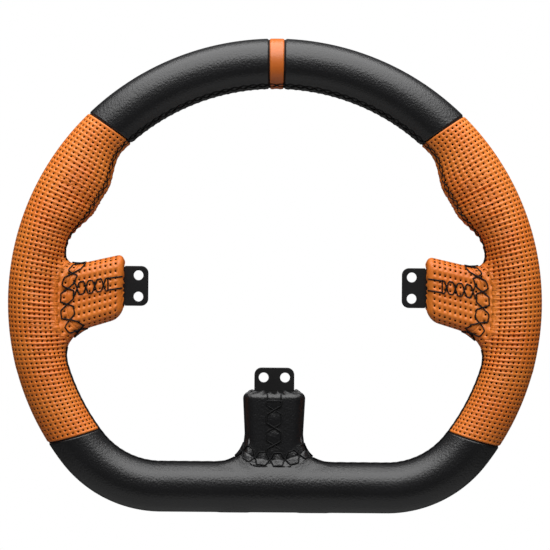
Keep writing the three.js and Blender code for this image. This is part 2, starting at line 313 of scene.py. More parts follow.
# The same place, at most half way round on either side.
def wrapRound(fromTop):
    return np.where(fromTop > halfLength, fromTop - 2 * halfLength, fromTop)


# The outer edge's point, and the outward direction there, at a distance from the top (right positive).
def outerEdge(fromTop):
    wrapped = wrapRound(fromTop)
    side = np.where(wrapped < 0, -1.0, 1.0)
    along = np.abs(wrapped)
    onArch = along <= archLength
    onCorner = ~onArch & (along <= archLength + cornerLength)
    angle = np.where(onArch, math.pi / 2 - along / rim["radius"], -math.pi / 2)
    angle = np.where(onCorner, cornerStart - (along - archLength) / rim["cornerRadius"], angle)
    x = cornerX - (along - archLength - cornerLength)
    x = np.where(onArch, rim["radius"] * np.cos(angle), x)
    x = np.where(onCorner, cornerX + rim["cornerRadius"] * np.cos(angle), x)
    z = np.where(onArch, rim["centreZ"] + rim["radius"] * np.sin(angle), drawnFlatZ)
    z = np.where(onCorner, cornerZ + rim["cornerRadius"] * np.sin(angle), z)
    z = rim["centreZ"] + (z - rim["centreZ"]) * lowering
    middle = np.full_like(x, rim["middleY"])
    outward = np.stack([side * np.cos(angle), np.zeros_like(x), np.sin(angle)], -1)
    return np.stack([side * x, middle, z], -1), outward


# For points in space: the distance from the top along the outer edge, and how far in from it they lie.
def onOutline(p):
    x, z = np.abs(p[..., 0]), asDrawn(p[..., 2])
    side = np.where(p[..., 0] < 0, -1.0, 1.0)
    archAngle = np.arctan2(z - rim["centreZ"], x)
    cornerAngle = np.arctan2(z - cornerZ, x - cornerX)
    onFlat = (x <= cornerX) & (z < cornerZ)
    onCorner = ~onFlat & (archAngle < cornerStart)
    inwards = rim["radius"] - np.hypot(x, z - rim["centreZ"])
    inwards = np.where(onCorner, rim["cornerRadius"] - np.hypot(x - cornerX, z - cornerZ), inwards)
    inwards = np.where(onFlat, z - drawnFlatZ, inwards)
    fromTop = (math.pi / 2 - archAngle) * rim["radius"]
    fromTop = np.where(onCorner, archLength + (cornerStart - cornerAngle) * rim["cornerRadius"], fromTop)
    fromTop = np.where(onFlat, archLength + cornerLength + cornerX - x, fromTop)
    return side * fromTop, inwards


def rimWidthAt(fromTop):
    beside = np.abs(np.abs(wrapRound(fromTop)) - rim["thumbFromTop"])
    return rim["width"] + rim["thumbSwell"] * (1 - smooth(beside, rim["thumbFlat"], rim["thumbReach"]))


# Nearly the distance to the rim's surface, negative inside it.
def rimField(p):
    fromTop, inwards = onOutline(p)
    half = rimWidthAt(fromTop) / 2
    deep = rim["depth"] / 2
    n = rim["squareness"]
    across = np.maximum(np.abs(half - inwards) / half, 1e-6)
    back = np.maximum(np.abs(p[..., 1] - rim["middleY"]) / deep, 1e-6)
    size = (across ** n + back ** n) ** (1 / n)
    slope = np.hypot((across / size) ** (n - 1) / half, (back / size) ** (n - 1) / deep)
    return (size - 1) / slope


# What the spokes share, and then what the side spokes and the bottom one have of their own.
commonShape = {
    "depth": 17.0,
    "corner": 7.0,
    "noseChange": 0.4,  # of the half width, where the one nose goes over into the other
    "edgeBlend": 0.55,  # of the half width, from where the fillet is an edge's and not a face's
    "faceBlend": (7.0, 13.0),  # from the middle of the depth, where it turns into a face's again
    "rootSquareness": 6,  # of the root seam's way round the spoke
}
sideShape = {
    "high": (17.8, 9.6),  # the sleeve's half width on the high side, at its end and at the rim
    "low": (17.8, 29.0),
    "blends": (12.0, 18.0, 7.0),  # the fillets' sizes: high side, low side and faces
    "noses": (3.2, 6.5),  # the rounding at the end, on the high and the low side
    "root": (116.2, 6.2, 7.4),  # the root seam's furthest place, and its draw to the high and low sides
    "lacingSide": (2.1, -2.0),  # the front lacing's place across, at the end and at the root
    "rimAt": rim["radius"] - rim["width"],
    "deepest": 130.0,
}
bottomShape = {
    "high": (17.6, 15.6),
    "low": (17.6, 15.6),
    "blends": (18.0, 18.0, 7.0),
    "noses": (3.2, 3.2),
    "root": (96.3, 5.0, 5.0),
    "lacingSide": (0.0, 0.0),
    "rimAt": -rim["flatZ"] - rim["width"],
    "deepest": -rim["flatZ"] - rim["width"] / 2,
}


# A spoke's directions: out runs from the hub centre to the rim, and side across it.
def newSpoke(name, out, side, shape):
    out, side = np.array(out, float), np.array(side, float)
    end = (np.array(boxOf(f"{name}_spoke_sleeve")) @ out).min()
    return {**commonShape, **shape, "out": out, "side": side, "end": end}


spokes = {
    "left": newSpoke("left", (-1, 0, 0), (0, 0, 1), sideShape),
    "right": newSpoke("right", (1, 0, 0), (0, 0, 1), sideShape),
    "bottom": newSpoke("bottom", (0, 0, -1), (1, 0, 0), bottomShape),
}


def inSpoke(spoke, p):
    return p @ spoke["out"], p @ spoke["side"], p[..., 1] - rim["middleY"]


def spokePlace(spoke, out, side, back):
    out, side, back = np.broadcast_arrays(out, side, back)
    p = out[..., None] * spoke["out"] + side[..., None] * spoke["side"]
    return p + (back + rim["middleY"])[..., None] * backwards


# The middle and half width of a sleeve, some way out.
def sleeveSpan(spoke, out):
    share = np.clip((out - spoke["end"]) / (spoke["rimAt"] - spoke["end"]), 0, 1.2)
    high = mix(*spoke["high"], share)
    low = mix(*spoke["low"], share)
    return (high - low) / 2, (high + low) / 2


def spokeField(spoke, p):
    out, side, back = inSpoke(spoke, p)
    middle, half = sleeveSpan(spoke, out)
    corner = spoke["corner"]
    change = spoke["noseChange"] * half
    nose = mix(*spoke["noses"], smooth(middle - side, -change, change))
    beyondSide = np.abs(side - middle) - (half - corner)
    beyondFace = np.abs(back) - (spoke["depth"] / 2 - corner)
    outside = np.hypot(np.maximum(beyondSide, 0), np.maximum(beyondFace, 0))
    wall = outside + np.minimum(np.maximum(beyondSide, beyondFace), 0) - corner
    cap = spoke["end"] - out
    rounded = np.hypot(np.maximum(wall + nose, 0), np.maximum(cap + nose, 0))
    body = rounded + np.minimum(np.maximum(wall, cap) + nose, 0) - nose
    return np.maximum(body, out - spoke["deepest"])


# The rim and a spoke as one skin, with a fillet between them. The second result says which of the two
# a point belongs to: negative on the rim's side, positive on the spoke's.
def skinFields(spoke, p):
    rimPart = rimField(p)
    if spoke is None:
        return rimPart, np.full_like(rimPart, -1e3)
    spokePart = spokeField(spoke, p)
    out, side, _ = inSpoke(spoke, p)
    middle, half = sleeveSpan(spoke, out)
    atEdge = smooth(np.abs(side - middle) / half, spoke["edgeBlend"], 1.0)
    atEdge = atEdge * (1 - smooth(np.abs(p[..., 1] - rim["middleY"]), *spoke["faceBlend"]))
    high, low, face = spoke["blends"]
    blend = mix(face, np.where(side > middle, high, low), atEdge)
    near = np.maximum(blend - np.abs(rimPart - spokePart), 0) / blend
    joined = np.minimum(rimPart, spokePart) - near * near * blend / 4
    return joined, rimPart - spokePart


# Where rays from inside leave a field's solid, walking out and then halving the last step.
def leave(origin, direction, field, step=0.8, walks=60, halvings=14):
    far = np.zeros(origin.shape[:-1])
    going = np.ones(far.shape, bool)
    for _ in range(walks):
        trial = far + step
        inside = field(origin + trial[..., None] * direction) < 0
        going &= inside
        far = np.where(going, trial, far)
        if not going.any():
            break
    near, past = far, far + step
    for _ in range(halvings):
        halfWay = (near + past) / 2
        inside = field(origin + halfWay[..., None] * direction) < 0
        near = np.where(inside, halfWay, near)
        past = np.where(inside, past, halfWay)
    return origin + near[..., None] * direction


def fieldNormal(field, p, reach=0.05):
    steps = np.eye(3) * reach
    normal = np.stack([field(p + s) - field(p - s) for s in steps], -1)
    return normal / np.linalg.norm(normal, axis=-1, keepdims=True)


def skinField(spoke, p):
    return skinFields(spoke, p)[0]


def skinNormal(spoke, p):
    return fieldNormal(lambda q: skinField(spoke, q), p)


# The whole wheel's skin.
def wheelField(p):
    return np.minimum.reduce([skinField(spoke, p) for spoke in spokes.values()])


# Rays from the middle of the rim's section, at distances from the top and angles round the section: 0
# points to the outer edge and a quarter turn to the back.
def rimRays(fromTop, turn):
    fromTop, turn = np.broadcast_arrays(np.asarray(fromTop, float), np.asarray(turn, float))
    edge, outward = outerEdge(fromTop)
    half = rimWidthAt(fromTop) / 2
    direction = outward * (half * np.cos(turn))[..., None]
    direction = direction + backwards * (rim["depth"] / 2 * np.sin(turn))[..., None]
    direction = direction / np.linalg.norm(direction, axis=-1, keepdims=True)
    return edge - outward * half[..., None], direction


# Points of the rim's skin beside one spoke, under the surface by the inset.
def onRim(spoke, fromTop, turn, inset=0.0):
    spine, direction = rimRays(fromTop, turn)

    def solid(p):
        joined, belongs = skinFields(spoke, p)
        return np.maximum(joined, belongs - rim["overlap"]) + inset

    return leave(spine, direction, solid)


# The direction of a ray round a spoke's axis, given in its side and back directions.
def roundSpoke(spoke, out, turn):
    middle, half = sleeveSpan(spoke, out)
    side, back = half * np.cos(turn), spoke["depth"] / 2 * np.sin(turn)
    size = np.hypot(side, back)
    return middle, side / size, back / size


# Points round a spoke, under a field's surface by the inset.
def onSpoke(spoke, out, turn, inset=0.0, field=skinField):
    out, turn = np.broadcast_arrays(np.asarray(out, float), np.asarray(turn, float))
    middle, side, back = roundSpoke(spoke, out, turn)
    origin = spokePlace(spoke, out, middle, np.zeros_like(out))
    direction = side[..., None] * spoke["side"] + back[..., None] * backwards
    return leave(origin, direction, lambda p: field(spoke, p) + inset)


# Points on a spoke's front, at places along and across it.
def onSpokeFront(spoke, out, side):
    out, side = np.broadcast_arrays(np.asarray(out, float), np.asarray(side, float))
    origin = spokePlace(spoke, out, side, np.zeros_like(out))
    direction = np.broadcast_to(-backwards, origin.shape)
    return leave(origin, direction, lambda p: skinField(spoke, p))


# How far out the seam lies that joins a sleeve to the rim's leather, round the spoke.
def rootAt(spoke, turn):
    cosine, sine = np.abs(np.cos(turn)), np.abs(np.sin(turn))
    n = spoke["rootSquareness"]
    beside = cosine / (cosine ** n + sine ** n) ** (1 / n)
    furthest, highDrawn, lowDrawn = spoke["root"]
    return furthest - mix(lowDrawn, highDrawn, (1 + np.cos(turn)) / 2) * beside ** 3


# A mesh in growth: its points in millimetres, and faces with their place in the map of cells.
def newShell():
    return {"points": [], "count": 0, "faces": [], "map": [], "holes": []}


def addPoints(shell, points):
    first = shell["count"]
    shell["points"].append(np.reshape(points, (-1, 3)))
    shell["count"] += len(shell["points"][-1])
    return first


def addFace(shell, corners, places, hole=False):
    shell["faces"].append(corners)
    shell["map"].extend(places)
    shell["holes"].append(hole)


# A skin of plain faces over rows of points. The columns close on themselves.
def addRows(shell, grid):
    rows, columns = grid.shape[:2]
    first = addPoints(shell, grid)
    for i in range(rows - 1):
        for j in range(columns):
            corners = [(i, j), (i + 1, j), (i + 1, j + 1), (i, j + 1)]
            addFace(shell, [first + a * columns + b % columns for a, b in corners],
                [(a / 2, b / 2) for a, b in corners])


# A skin of cells over a grid that has four steps to a cell along and two across. A cell with a hole gets
# twelve faces round its hole, and the others get eight faces.
def addCells(shell, grid, holes):
    rows, columns = holes.shape
    around = grid.shape[1]
    first = addPoints(shell, grid)
    border = [(2, 0), (2, 1), (1, 1), (0, 1), (-1, 1), (-2, 1)]
    border += [(-a, -b) for a, b in border]
    angles = np.arange(12) * math.pi / 6
    for r in range(rows):
        for c in range(columns):
            i, j = 4 * r + 2, 2 * c + 1
            if not holes[r, c]:
                for a, b in [(i + a, j + b) for a in (-2, -1, 0, 1) for b in (-1, 0)]:
                    corners = [(a, b), (a + 1, b), (a + 1, b + 1), (a, b + 1)]
                    addFace(shell, [first + u * around + v % around for u, v in corners],
                        [(u / 4, v / 2) for u, v in corners])
                continue
            places = [((i + a) / 4, (j + b) / 2) for a, b in border]
            ring = [first + (i + a) * around + (j + b) % around for a, b in border]
            along = grid[i + 1, j] - grid[i - 1, j]
            normal = np.cross(along, grid[i, (j + 1) % around] - grid[i, j - 1])
            along = along / np.linalg.norm(along)
            across = np.cross(normal / np.linalg.norm(normal), along)
            spread = np.outer(np.cos(angles), along) + np.outer(np.sin(angles), across)
            start = addPoints(shell, grid[i, j] + leather["holeRadius"] * spread)
            lip = [(i / 4 + math.cos(a) / 5, j / 2 + math.sin(a) / 5) for a in angles]
            for k in range(12):
                n = (k + 1) % 12
                addFace(shell, [ring[k], ring[n], start + n, start + k],
                    [places[k], places[n], lip[n], lip[k]])
            addFace(shell, [start + k for k in range(12)], lip, hole=True)


weldDistance = 2e-6  # in metres


def cleanMesh(mesh):
    work = bmesh.new()
    work.from_mesh(mesh)
    bmesh.ops.remove_doubles(work, verts=work.verts, dist=weldDistance)
    bmesh.ops.dissolve_degenerate(work, edges=work.edges, dist=weldDistance)
    loose = [v for v in work.verts if not v.link_faces]
    bmesh.ops.delete(work, geom=loose, context="VERTS")
    bmesh.ops.recalc_face_normals(work, faces=work.faces)
    work.to_mesh(mesh)
    work.free()
    mesh.update()


def makeObject(name, shell, material, stretch=None):
    mesh = bpy.data.meshes.new(name)
    points = np.concatenate(shell["points"])
    mesh.from_pydata((points * mm).tolist(), [], shell["faces"])
    cells = mesh.uv_layers.new(name="cells")
    cells.data.foreach_set("uv", np.array(shell["map"], np.float32).ravel())
    flags = mesh.attributes.new("hole", "BOOLEAN", "FACE")
    flags.data.foreach_set("value", np.array(shell["holes"], bool))
    pulled = mesh.attributes.new("stretch", "FLOAT", "POINT")
    amounts = np.zeros(len(points)) if stretch is None else stretch(points)
    pulled.data.foreach_set("value", amounts.astype(np.float32))
    cleanMesh(mesh)
    mesh.polygons.foreach_set("use_smooth", np.ones(len(mesh.polygons), bool))
    mesh.materials.append(material)
    return addObject(name, mesh)


def newTree(name, sockets):
    tree = bpy.data.node_groups.new(name, "GeometryNodeTree")
    tree.interface.new_socket("Geometry", in_out="INPUT", socket_type="NodeSocketGeometry")
    for label, kind in sockets:
        tree.interface.new_socket(label, in_out="INPUT", socket_type=kind)
    tree.interface.new_socket("Geometry", in_out="OUTPUT", socket_type="NodeSocketGeometry")
    return tree, addNode(tree, "NodeGroupInput").outputs


# Punches the faces marked as holes down into the leather.
def punchTree():
    tree, given = newTree("punch_holes", [
        ("Hole depth", "NodeSocketFloat"), ("Edge and shade material", "NodeSocketMaterial")])
    marked = addNode(tree, "GeometryNodeInputNamedAttribute", {"Name": "hole"}, data_type="BOOLEAN")
    downwards = addNode(tree, "ShaderNodeMath", {0: given["Hole depth"], 1: -1.0}, operation="MULTIPLY")
    punched = addNode(tree, "GeometryNodeExtrudeMesh", {
        "Mesh": given["Geometry"], "Selection": marked,
        "Offset Scale": downwards, "Individual": True}, mode="FACES")
    inside = addNode(tree, "FunctionNodeBooleanMath", {
        0: punched.outputs["Top"], 1: punched.outputs["Side"]}, operation="OR")
    crisp = addNode(tree, "GeometryNodeSetShadeSmooth", {
        "Geometry": punched, "Selection": inside,
        "Shade Smooth": False})
    real = addNode(tree, "GeometryNodeRealizeInstances", {"Geometry": crisp})
    # The holes' floors and walls get the near-black edge material: dyed edge and painted shade.
    coloured = addNode(tree, "GeometryNodeSetMaterial", {
        "Geometry": real, "Selection": inside,
        "Material": given["Edge and shade material"]})
    addNode(tree, "NodeGroupOutput", {"Geometry": coloured})
    return tree


# Sweeps a round thread along every line of the mesh.
def threadTree():
    tree, given = newTree("thread_on_lines", [
        ("Thread radius", "NodeSocketFloat"), ("Sides", "NodeSocketInt"),
        ("Thread material", "NodeSocketMaterial")])
    lines = addNode(tree, "GeometryNodeMeshToCurve", {"Mesh": given["Geometry"]})
    section = addNode(tree, "GeometryNodeCurvePrimitiveCircle", {
        "Resolution": given["Sides"], "Radius": given["Thread radius"]})
    swept = addNode(tree, "GeometryNodeCurveToMesh", {
        "Curve": lines, "Profile Curve": section, "Fill Caps": True})
    soft = addNode(tree, "GeometryNodeSetShadeSmooth", {"Geometry": swept})
    real = addNode(tree, "GeometryNodeRealizeInstances", {"Geometry": soft})
    coloured = addNode(tree, "GeometryNodeSetMaterial", {
        "Geometry": real, "Material": given["Thread material"]})
    addNode(tree, "NodeGroupOutput", {"Geometry": coloured})
    return tree


# Runs a tree on an object, keeps the result as the object's own mesh, and takes the modifier off.
def applyTree(made, tree, values):
    modifier = made.modifiers.new(tree.name, "NODES")
    modifier.node_group = tree
    for item in tree.interface.items_tree:
        if item.item_type == "SOCKET" and item.in_out == "INPUT" and item.name in values:
            modifier[item.identifier] = values[item.name]
    bpy.context.view_layer.update()
    evaluated = made.evaluated_get(bpy.context.evaluated_depsgraph_get())
    mesh = bpy.data.meshes.new_from_object(evaluated)
    mesh.name = made.name
    made.modifiers.clear()
    made.data = mesh
    return made


punching = punchTree()
threading = threadTree()


def punchHoles(made):
    applyTree(made, punching, {
        "Hole depth": leather["holeDepth"] * mm, "Edge and shade material": materials["punched_edge_and_shade"]})


def standFor(made, node):
    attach(made, "root")
    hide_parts(node)


leather = {
    "thickness": 1.4,
    "edgeRadius": 1.0,  # the rounding where a panel turns down into a joint
    "jointGap": 0.5,
    "liningStep": 14.0,
    "seamForward": 0.54,  # radians, from the inner edge towards the driver
    "lowSeamForward": 0.17,
    "seamDrop": (165, 200),  # where it goes from the one to the other, from the top
    "seamGroove": 0.3,
    "seamGrooveWidth": 1.0,
    "gatherPitch": 5.2,
    "gatherHeight": 1.1,
    "gatherBehind": 4.2,  # from the seam to the gathers' middle
    "gatherWidth": 2.6,
    "gatherFade": (188, 216),  # from the top
    "ridgeHeight": 0.5,
    "ridgeUneven": 0.45,
    "pullStart": (124, 160),  # from the top, where the ridges come in and go out
    "pullStop": (262, 312),
    "pullInwards": (6, 16),  # from the outer edge
    "gripRows": 74,
    "gripHoles": 31,
    "holeRadius": 0.56,
    "holeDepth": 0.9,
    "plainAhead": (0.8, 3.5),  # from the seam towards the driver, where the ridges start
    "plainBehind": (7, 11),
    "plainAtRoot": (-3.5, -0.5),  # how near to the spoke's skin the ridges fade
    "lastHole": -0.8,  # how near to it the last hole lies
    "plainColumns": 2,  # the turned edge beyond the seam isn't perforated
    "rollAngles": (90, 60, 35, 15, 0),
    "rootGroove": 0.6,
    "rootGrooveWidth": 1.8,
    "puff": 0.45,
}
joints = {  # distance from the top at the outer edge, and the lean towards the inner edge
    "stripe": (4.75, -0.28),
    "upper": (113.3, 3.2),
    "lower": (325.4, -5.2),
}


def jointAt(joint, turn):
    fromTop, lean = joints[joint]
    return fromTop + lean * np.cos(turn)


# The seam's angle round the section: in front of the inner edge, and nearer to it below the spokes.
def seamAngle(fromTop):
    lowered = smooth(np.abs(wrapRound(fromTop)), *leather["seamDrop"])
    return math.pi + mix(leather["seamForward"], leather["lowSeamForward"], lowered)


def waver(value, seed):
    return np.sin(value + seed) * 0.5 + np.sin(value * 2.3 + seed * 1.7) * 0.3 + np.sin(
        value * 4.1 + seed * 2.9) * 0.2


# How hard the leather is pulled into ridges, from the place along and round the rim.
def pullAt(p):
    fromTop, inwards = onOutline(p)
    along = np.abs(fromTop)
    lengthwise = smooth(along, *leather["pullStart"]) * (1 - smooth(along, *leather["pullStop"]))
    return lengthwise * smooth(inwards, *leather["pullInwards"])


# Ridges between the rows of holes, uneven from row to row and along each row.
def ridges(p, row):
    _, inwards = onOutline(p)
    uneven = leather["ridgeUneven"]
    height = 0.7 + uneven * waver(row * 0.9, 0.4) + uneven * waver(inwards * 0.3 + row * 2.1, 1.3)
    return leather["ridgeHeight"] * pullAt(p) * np.maximum(height, 0) * np.cos(2 * math.pi * row)


# How far round the section from the inner seam, positive towards the driver.
def fromSeamAt(fromTop, turn):
    return (np.mod(turn - seamAngle(fromTop) + math.pi, 2 * math.pi) - math.pi) * rim["depth"] / 2


# The leather's own relief on the rim, outwards: its inner seam and the gathers beside it.
def rimRelief(fromTop, turn):
    fromSeam = fromSeamAt(fromTop, turn)
    groove = -leather["seamGroove"] * np.exp(-(fromSeam / leather["seamGrooveWidth"]) ** 2)
    beside = np.exp(-((fromSeam + leather["gatherBehind"]) / leather["gatherWidth"]) ** 2)
    gathers = np.abs(np.sin(math.pi * fromTop / leather["gatherPitch"] + 0.4 * waver(fromTop * 0.11, 2)))
    gathered = 1 - smooth(np.abs(fromTop), *leather["gatherFade"])
    return groove + leather["gatherHeight"] * (gathers - 0.4) * beside * gathered


def rimLeather(name, fromAt, toAt, spoke, rows, columns, holed, material):
    edge, half = leather["edgeRadius"], leather["jointGap"] / 2
    steps = np.arange(4 * rows + 1) / (4 * rows)
    turnSteps = np.arange(2 * columns) / (2 * columns) * 2 * math.pi

    def place(share, fromEdge):  # share of the way along, and a distance in from the nearer edge
        guess = mix(fromAt(turnSteps), toAt(turnSteps), np.asarray(share)[:, None])
        turn = seamAngle(guess) + turnSteps
        start = fromAt(turn) + half + fromEdge
        end = toAt(turn) - half - fromEdge
        return mix(start, end, np.asarray(share)[:, None]), turn

    def skin(share, fromEdge, inset):
        fromTop, turn = place(share, fromEdge)
        p = onRim(spoke, fromTop, turn)
        relief = rimRelief(fromTop, turn) - inset
        if holed:
            _, belongs = skinFields(spoke, p)
            fromSeam = fromSeamAt(fromTop, turn)
            ahead, behind = leather["plainAhead"], leather["plainBehind"]
            beside = np.where(fromSeam > 0, smooth(fromSeam, *ahead), smooth(-fromSeam, *behind))
            fade = (1 - smooth(belongs, *leather["plainAtRoot"])) * beside
            relief = relief + fade * ridges(p, np.asarray(share)[:, None] * rows)
        return p + skinNormal(spoke, p) * relief[..., None]

    shell = newShell()
    face = skin(steps, edge, 0.0)
    holes = np.zeros((rows, columns), bool)
    if holed:
        _, belongs = skinFields(spoke, face[2::4, 1::2])
        holes = belongs < leather["lastHole"]
        holes[:, -leather["plainColumns"]:] = False
    addCells(shell, face, holes)

    inFromEdge = edge * np.sin(np.radians(leather["rollAngles"]))
    rolled = [(e, edge - math.sqrt(edge ** 2 - (edge - e) ** 2)) for e in inFromEdge]
    first = [skin([0.0], e, inset) for e, inset in rolled]
    last = [skin([1.0], e, inset) for e, inset in reversed(rolled)]
    length = float(np.mean(toAt(turnSteps) - fromAt(turnSteps)))
    count = max(int(length / leather["liningStep"]), 1)
    lined = []
    for share in np.linspace(0, 1, count + 1):
        fromTop, turn = place([share], 0.0)
        lined.append(onRim(None, fromTop, turn, leather["thickness"]))
    addRows(shell, np.concatenate(first + lined + last))
    if spoke is not None:
        addCollar(shell, spoke, holed)
    made = makeObject(name, shell, material, pullAt if holed else None)
    if holed:
        punchHoles(made)
    return made


sleeve = {
    "holesRound": 33,
    "plainRound": 40,
    "holePitch": 2.9,
    "noseRows": (12, 30, 50, 70),  # degrees round the nose
    "wallStart": 80,
    "linings": (4, 12),
    "capRows": 7,
    "capDip": 1.2,
    "gathers": 17,
    "foldShares": (0.5, 0.3, 0.125),  # on the first rows of the nose
    "plateRoom": 0.3,
    "wholeShare": 0.85,  # of a full cell's length, from where a cell may have a hole
    "collarFrom": 16,  # before the rim's inner edge, from where the collar's end is looked for
    "collarStep": 0.25,
    "touching": 0.05,
    "rootPitch": 8.2,
    "rootPuff": 2.7,  # the puffs' reach from the root seam
    "frontStart": 3.0,  # in from the root seam
    "frontPuff": 0.75,  # the puffs' reach across, of the lacing's half width
    "lumps": 0.4,
    # For the bottom spoke and then the side ones: the bar's place from the end and the stitches' pitch,
    # the lacing's half width, and how deep the end is crumpled.
    "frontSeams": [(4.4, 9.2), (8.3, 5.4)],
    "frontHalves": [4.1, 3.5],
    "crumples": [1.0, 0.5],
}


# The length of the seam round a spoke's root up to each turn, and the pitch of its stitches.
def measureRoot(spoke):
    turn = np.linspace(-math.pi / 2, 1.5 * math.pi, 721)
    path = onSpoke(spoke, rootAt(spoke, turn), turn)
    run = np.concatenate([[0], np.cumsum(np.linalg.norm(np.diff(path, axis=0), axis=1))])
    loops = 2 * round(run[-1] / (2 * sleeve["rootPitch"]))
    return turn, run, run[-1] / loops


# The front stitches' start at the root, the bar that ends them, and their pitch.
def measureFront(spoke, fromEnd, wanted):
    start = spoke["root"][0] - sleeve["frontStart"]
    bar = spoke["end"] + fromEnd
    return start, bar, (start - bar) / max(round((start - bar) / wanted), 1)


for name, spoke in spokes.items():
    spoke["rootSeam"] = measureRoot(spoke)
    spoke["frontSeam"] = measureFront(spoke, *sleeve["frontSeams"][name != "bottom"])
    spoke["frontHalf"] = sleeve["frontHalves"][name != "bottom"]


def frontMiddle(spoke, out):
    start = spoke["frontSeam"][0]
    return mix(*spoke["lacingSide"], (out - spoke["end"]) / (start - spoke["end"]))


# The leather's relief under the stitches round the root: a groove where threads cross, and a puff
# between the crossings.
def rootDip(spoke, out, turn):
    away = out - rootAt(spoke, turn)
    turns, run, pitch = spoke["rootSeam"]
    along = np.interp(np.mod(turn + math.pi / 2, 2 * math.pi) - math.pi / 2, turns, run)
    puff = np.cos(math.pi * (along / pitch - 0.25)) ** 2
    groove = leather["rootGroove"] * np.exp(-(away / leather["rootGrooveWidth"]) ** 2) * (1 - puff)
    return leather["puff"] * puff * np.exp(-(away / sleeve["rootPuff"]) ** 4) - groove


def frontDip(spoke, p):
    out, side, back = inSpoke(spoke, p)
    start, bar, pitch = spoke["frontSeam"]
    puff = np.cos(math.pi * (start - out) / pitch) ** 2
    reach = sleeve["frontPuff"] * spoke["frontHalf"]
    across = np.exp(-((side - frontMiddle(spoke, out)) / reach) ** 4)
    within = smooth(out, bar - 1, bar + 1) * (1 - smooth(out, start - 2, start)) * (back < 0)
    lumps = sleeve["lumps"] * np.sin(out * 2.9 + side * 1.3) * np.sin(side * 2.1 - out * 0.7)
    return leather["puff"] * (puff - 0.5 + lumps) * across * within


def spokeSkin(spoke, out, turn, inset=0.0):
    p = onSpoke(spoke, out, turn)
    relief = rootDip(spoke, out, turn) + frontDip(spoke, p) - inset
    return p + skinNormal(spoke, p) * relief[..., None]


def turnsRound(columns):
    return -math.pi / 2 + np.arange(2 * columns) / (2 * columns) * 2 * math.pi


# Where the spoke's skin has run far enough on to the rim's, round the spoke.
def collarEnd(spoke, turn):
    trials = np.arange(spoke["rimAt"] - sleeve["collarFrom"], spoke["deepest"], sleeve["collarStep"])
    p = onSpoke(spoke, trials[:, None], turn[None, :])
    joined, belongs = skinFields(spoke, p)
    onSurface = (belongs > -rim["overlap"]) & (np.abs(joined) < sleeve["touching"])
    past = np.argmax(~onSurface, axis=0)
    return trials[np.maximum(past - 1, 0)]


# The cells of a grid that the seam doesn't cut short.
def wholeCells(out, pitch):
    whole = (out[4::4] - out[:-4:4]) > sleeve["wholeShare"] * pitch
    return whole[:, 1::2] & whole[:, ::2] & np.roll(whole[:, ::2], -1, axis=1)


# The rim's leather where it runs up a spoke, from the fillet to the root seam.
def addCollar(shell, spoke, holed):
    columns = sleeve["holesRound"] if holed else sleeve["plainRound"]
    turn = turnsRound(columns)
    root, end = rootAt(spoke, turn), collarEnd(spoke, turn)
    rows = max(round(float((end - root).mean()) / sleeve["holePitch"]), 1)
    out = mix(root, np.maximum(end, root + 0.5), np.linspace(0, 1, 4 * rows + 1)[:, None])
    face = spokeSkin(spoke, out, turn)
    holes = np.zeros((rows, columns), bool)
    if holed:
        _, belongs = skinFields(spoke, face[2::4, 1::2])
        holes = belongs > 0.0
    addCells(shell, face, holes)
    thick = leather["thickness"]
    under = [spokeSkin(spoke, row, turn, thick) for row in (out[-1:], out[:1])]
    addRows(shell, np.concatenate([face[-1:], *under, face[:1]]))


# The edge of the slot round the plate in a sleeve's end.
def plateRing(spoke, turn):
    middle, side, back = roundSpoke(spoke, np.full_like(turn, spoke["end"]), turn)
    room = sleeve["plateRoom"]
    toSide = (plate["width"] / 2 + room) / np.maximum(np.abs(side), 1e-6)
    toFace = (plate["thickness"] / 2 + room) / np.maximum(np.abs(back), 1e-6)
    far = np.minimum(toSide, toFace)
    return side * far, back * far


def spokeSleeve(name, spoke, holed, material):
    crumple = sleeve["crumples"][holed]
    columns = sleeve["holesRound"] if holed else sleeve["plainRound"]
    turn = turnsRound(columns)
    root = rootAt(spoke, turn)
    end, nose = spoke["end"], spoke["noses"][0]
    shell = newShell()

    start = end + nose * (1 - math.cos(math.radians(sleeve["wallStart"])))
    pitch = sleeve["holePitch"]
    rows = math.ceil((root.max() - start) / pitch)
    lines = start + np.arange(4 * rows + 1) * pitch / 4
    out = np.clip(lines[:, None], None, root[None, :])
    face = spokeSkin(spoke, out, turn)
    holes = np.zeros((rows, columns), bool)
    if holed:
        holes = wholeCells(out, pitch)
    addCells(shell, face, holes)

    # The end: round the nose and down to the plate, gathered by its drawstring stitch.
    noseOut = [end + nose * (1 - math.cos(math.radians(a))) for a in sleeve["noseRows"]]
    noseRows = [spokeSkin(spoke, [[o]], turn) for o in noseOut]
    side, back = plateRing(spoke, turn)
    plateEdge = spokePlace(spoke, end, side, back)
    folds = np.sin(sleeve["gathers"] * turn + 0.8 * waver(turn * 3, 1)) + 0.6 * waver(turn * 9, 3)
    for k, share in enumerate(sleeve["foldShares"]):
        noseRows[k] = noseRows[k] - (crumple * share * folds)[:, None] * spoke["out"]
    capRows = []
    for share in np.linspace(0, 1, sleeve["capRows"])[::-1]:
        row = mix(noseRows[0][0], plateEdge, share)
        lift = crumple * math.sin(math.pi * share) * (0.4 + folds)
        lift = lift - sleeve["capDip"] * share ** 3
        capRows.append(row - lift[:, None] * spoke["out"])
    thick = leather["thickness"]
    lined = [onSpoke(spoke, [[start + o]], turn, thick) for o in sleeve["linings"]]
    under = spokeSkin(spoke, out[-1:], turn, thick)
    inner = spokePlace(spoke, end + thick + sleeve["capDip"], side, back)
    loop = [face[-1:], under] + lined[::-1] + [inner[None, :]]
    loop += [row[None, :] for row in capRows] + noseRows[1:] + [face[:1]]
    addRows(shell, np.concatenate(loop))
    made = makeObject(name, shell, material)
    if holed:
        punchHoles(made)
    return made


